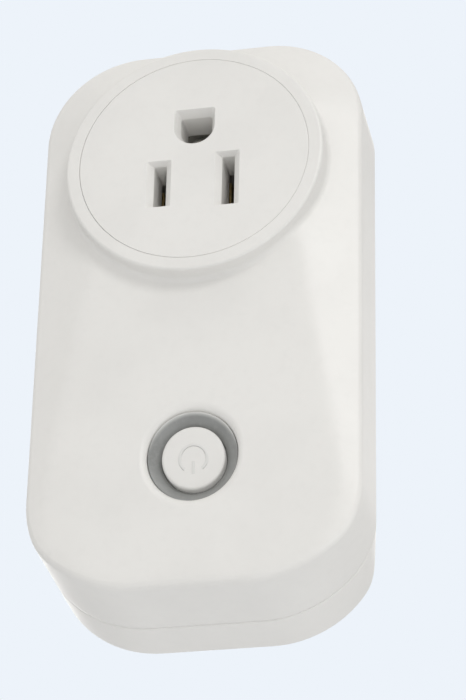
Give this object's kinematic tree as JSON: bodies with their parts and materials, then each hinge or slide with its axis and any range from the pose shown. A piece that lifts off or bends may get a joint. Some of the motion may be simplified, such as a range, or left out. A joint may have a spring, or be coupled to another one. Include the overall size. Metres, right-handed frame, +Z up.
{
  "type": "smart plug",
  "caption": "White wall-plug switch: tall rounded casing with a round outlet above, a lit push button below, and flat blades with a round ground pin behind.",
  "frame": {"origin": "On the wall face of the casing, midway between the two flat blades", "axes": "+Z up from the blades towards the ground pin, +Y out of the casing's back into the wall, +X to the right as seen from the front"},
  "size_m": [0.06, 0.051, 0.113],
  "materials": {
    "shell_white": "satin",
    "ring_clear": "frosted translucent",
    "carrier_plastic": "matt",
    "contact_brass": "satin",
    "blade_nickel": "satin nickel plate",
    "bar_copper": "satin",
    "board_green": "solder mask",
    "board_blue": "solder mask",
    "screw_steel": "zinc plate",
    "black_plastic": "matt",
    "relay_blue": "satin",
    "bobbin_plastic": "matt",
    "coil_copper": "enamelled wire",
    "relay_iron": "satin",
    "ferrite": "sintered",
    "winding_tape": "polyester tape",
    "capacitor_sleeve": "printed film, blank",
    "fuse_body": "enamel",
    "varistor_disc": "dipped epoxy",
    "led_lens": "clear",
    "label_film": "blank film"
  },
  "bodies": {
    "housing": {"front_cover": "shell_white", "rear_cover": "shell_white", "socket_face": "shell_white", "light_ring": "ring_clear", "switch_body": "black_plastic", "switch_plate": "screw_steel", "contact_carrier": "carrier_plastic", "hot_contact": "contact_brass", "neutral_contact": "contact_brass", "ground_contact": "blade_nickel", "hot_blade": "blade_nickel", "neutral_blade": "blade_nickel", "ground_pin": "blade_nickel", "blade_holder": "carrier_plastic", "line_bar": "bar_copper", "load_bar": "bar_copper", "neutral_bar": "bar_copper", "ground_strap": "bar_copper", "main_board": "board_green", "board_screws": "screw_steel", "case_screws": "screw_steel", "carrier_screws": "screw_steel", "face_screws": "screw_steel", "wifi_board": "board_blue", "wifi_shield": "screw_steel", "relay_base": "black_plastic", "relay_case": "relay_blue", "relay_bobbin": "bobbin_plastic", "relay_coil": "coil_copper", "relay_core": "relay_iron", "relay_yoke": "relay_iron", "relay_contact": "contact_brass", "transformer_core": "ferrite", "transformer_bobbin": "black_plastic", "transformer_winding": "winding_tape", "input_capacitor_a": "capacitor_sleeve", "input_capacitor_b": "capacitor_sleeve", "output_capacitor": "capacitor_sleeve", "fuse_resistor": "fuse_body", "varistor": "varistor_disc", "bridge_rectifier": "black_plastic", "filter_choke": "ferrite", "supply_chip": "black_plastic", "voltage_regulator": "black_plastic", "link_led": "led_lens", "power_led": "led_lens", "rating_label": "label_film"},
    "button": {"button_cap": "shell_white", "switch_plunger": "black_plastic"},
    "armature": {"relay_armature": "relay_iron", "relay_leaf": "contact_brass"}
  },
  "joints": [
    {"name": "button_press", "type": "slide", "parent": "housing", "child": "button", "axis": [0, 1, 0], "range_m": [0, 0.0003], "stiffness_N_per_m": 6000},
    {"name": "relay_rock", "type": "hinge", "parent": "housing", "child": "armature", "pos_m": [-0.0077, -0.0053, -0.0328], "axis": [0, 0, -1], "range_deg": [0, 3], "stiffness_Nm_per_rad": 0.034}
  ]
}
